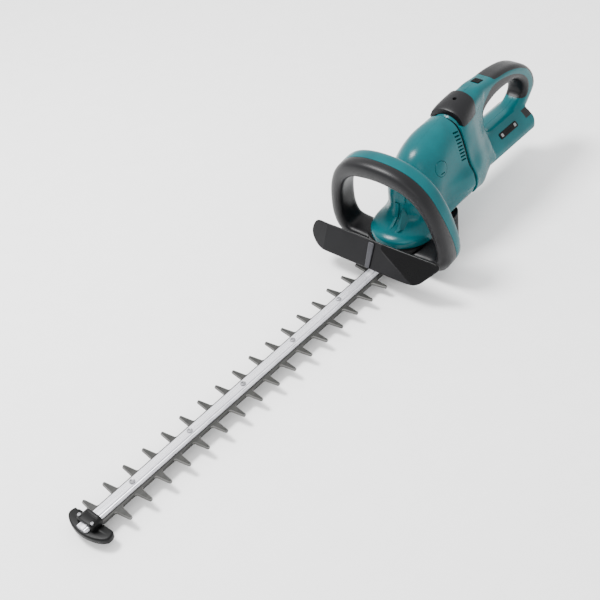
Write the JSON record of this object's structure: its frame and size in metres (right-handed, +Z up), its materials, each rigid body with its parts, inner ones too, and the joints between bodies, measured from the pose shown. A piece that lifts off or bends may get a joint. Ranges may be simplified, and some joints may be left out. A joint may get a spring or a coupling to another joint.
{
  "type": "hedge trimmer",
  "caption": "Cordless hedge trimmer: long double-sided reciprocating blades on a guide bar, hand guard, D-shaped loop handle and a swivelling rear handle with trigger.",
  "frame": {"origin": "centre of the bounding box in plan, at the underside of the base plate that the tool stands on", "axes": "+X along the blades towards their tip, +Z up, +Y to the left of someone holding the tool and facing the tip"},
  "size_m": [0.9532, 0.2164, 0.1921],
  "materials": {
    "blade_steel": "dark oiled steel, brighter on the cutting edges",
    "bar_steel": "satin bright steel",
    "screw_steel": "plain machined steel",
    "nose_black": "black moulded plastic",
    "smoke_guard": "dark grey moulded plastic",
    "rib_steel": "grey moulded plastic",
    "rubber": "soft satin over-moulding",
    "teal_shell": "glossy moulded shell",
    "black_plastic": "black moulded plastic",
    "grey_plastic": "pale grey key tops",
    "gear_steel": "machined steel, lightly oiled",
    "bearing_steel": "polished bearing steel",
    "copper": "wound copper and segmented copper",
    "inner_plastic": "black moulded plastic",
    "swivel_plastic": "black glass-filled plastic"
  },
  "bodies": {
    "main_body": {"guide_bar": "bar_steel", "bar_screw_1": "screw_steel", "bar_screw_2": "screw_steel", "bar_screw_3": "screw_steel", "bar_screw_4": "screw_steel", "bar_screw_5": "screw_steel", "nose_guard": "nose_black", "nose_clamp": "nose_black", "nose_screw_right": "screw_steel", "nose_screw_left": "screw_steel", "hand_guard": "smoke_guard", "guard_rib": "rib_steel", "front_handle_grip": "rubber", "front_handle_core": "teal_shell", "housing_left": "teal_shell", "housing_right": "teal_shell", "housing_screw_1": "screw_steel", "housing_screw_2": "screw_steel", "housing_screw_3": "screw_steel", "gear_case": "black_plastic", "base_plate": "black_plastic", "crank_bearing_lower": "bearing_steel", "crank_bearing_upper": "bearing_steel", "motor_can": "gear_steel", "motor_bearing_lower": "bearing_steel", "motor_bearing_upper": "bearing_steel", "carbon_brush_left": "inner_plastic", "brush_cap_left": "black_plastic", "carbon_brush_right": "inner_plastic", "brush_cap_right": "black_plastic", "swivel_collar": "swivel_plastic", "swivel_tube": "swivel_plastic", "swivel_retainer": "swivel_plastic"},
    "upper_blade": {"upper_blade": "blade_steel"},
    "lower_blade": {"lower_blade": "blade_steel"},
    "crank": {"crank_shaft": "gear_steel", "crank_gear": "gear_steel"},
    "rotor": {"motor_shaft": "gear_steel", "armature": "copper", "commutator": "copper", "motor_fan": "inner_plastic"},
    "rear_handle": {"handle_left": "teal_shell", "handle_right": "teal_shell", "handle_screw_1": "screw_steel", "handle_screw_2": "screw_steel", "grip_outer": "rubber", "grip_inner": "rubber", "rear_bumper_left": "rubber", "rear_bumper_right": "rubber", "control_panel": "black_plastic", "trigger_switch": "inner_plastic", "controller": "inner_plastic", "terminal_block": "inner_plastic"},
    "trigger": {"trigger": "black_plastic"},
    "lock_off_button": {"lock_off_button": "black_plastic"},
    "swivel_lever": {"swivel_lever": "rubber"},
    "panel_button_front": {"panel_button_front": "grey_plastic"},
    "panel_button_rear": {"panel_button_rear": "grey_plastic"},
    "front_lever": {"front_lever": "black_plastic"}
  },
  "joints": [
    {"name": "upper_blade_slide", "type": "slide", "parent": "main_body", "child": "upper_blade", "axis": [1, 0, 0], "range_m": [-0.008, 0.008]},
    {"name": "lower_blade_slide", "type": "slide", "parent": "main_body", "child": "lower_blade", "axis": [1, 0, 0], "range_m": [-0.008, 0.008]},
    {"name": "crank_spin", "type": "hinge", "parent": "main_body", "child": "crank", "pos_m": [-0.1574, 0, 0.026], "axis": [0, 0, 1], "continuous": true},
    {"name": "rotor_spin", "type": "hinge", "parent": "main_body", "child": "rotor", "pos_m": [-0.1974, 0, 0.076], "axis": [0, 0, 1], "continuous": true},
    {"name": "rear_handle_turn", "type": "hinge", "parent": "main_body", "child": "rear_handle", "pos_m": [-0.2574, 0, 0.114], "axis": [1, 0, 0], "range_deg": [-90, 90]},
    {"name": "trigger_pull", "type": "hinge", "parent": "rear_handle", "child": "trigger", "pos_m": [-0.3614, 0, 0.1615], "axis": [0, 1, 0], "range_deg": [0, 7], "stiffness_Nm_per_rad": 1.6, "springref_deg": -6.88},
    {"name": "lock_off_press", "type": "slide", "parent": "rear_handle", "child": "lock_off_button", "axis": [0, 0, -1], "range_m": [0, 0.003], "stiffness_N_per_m": 600, "springref_m": -0.002},
    {"name": "swivel_lever_pull", "type": "slide", "parent": "rear_handle", "child": "swivel_lever", "axis": [1, 0, 0], "range_m": [0, 0.003], "stiffness_N_per_m": 800, "springref_m": -0.002},
    {"name": "panel_button_front_press", "type": "slide", "parent": "rear_handle", "child": "panel_button_front", "axis": [0, -0.7431, -0.6691], "range_m": [0, 0.0008], "stiffness_N_per_m": 800, "springref_m": -0.0005},
    {"name": "panel_button_rear_press", "type": "slide", "parent": "rear_handle", "child": "panel_button_rear", "axis": [0, -0.7431, -0.6691], "range_m": [0, 0.0008], "stiffness_N_per_m": 800, "springref_m": -0.0005},
    {"name": "front_lever_squeeze", "type": "slide", "parent": "main_body", "child": "front_lever", "axis": [0.165, 0, 0.9863], "range_m": [0, 0.004], "stiffness_N_per_m": 900, "springref_m": -0.002}
  ],
  "couplings": [
    {"joint": "lower_blade_slide", "follows": "upper_blade_slide", "ratio": -1},
    {"joint": "rotor_spin", "follows": "crank_spin", "ratio": -5.25}
  ]
}
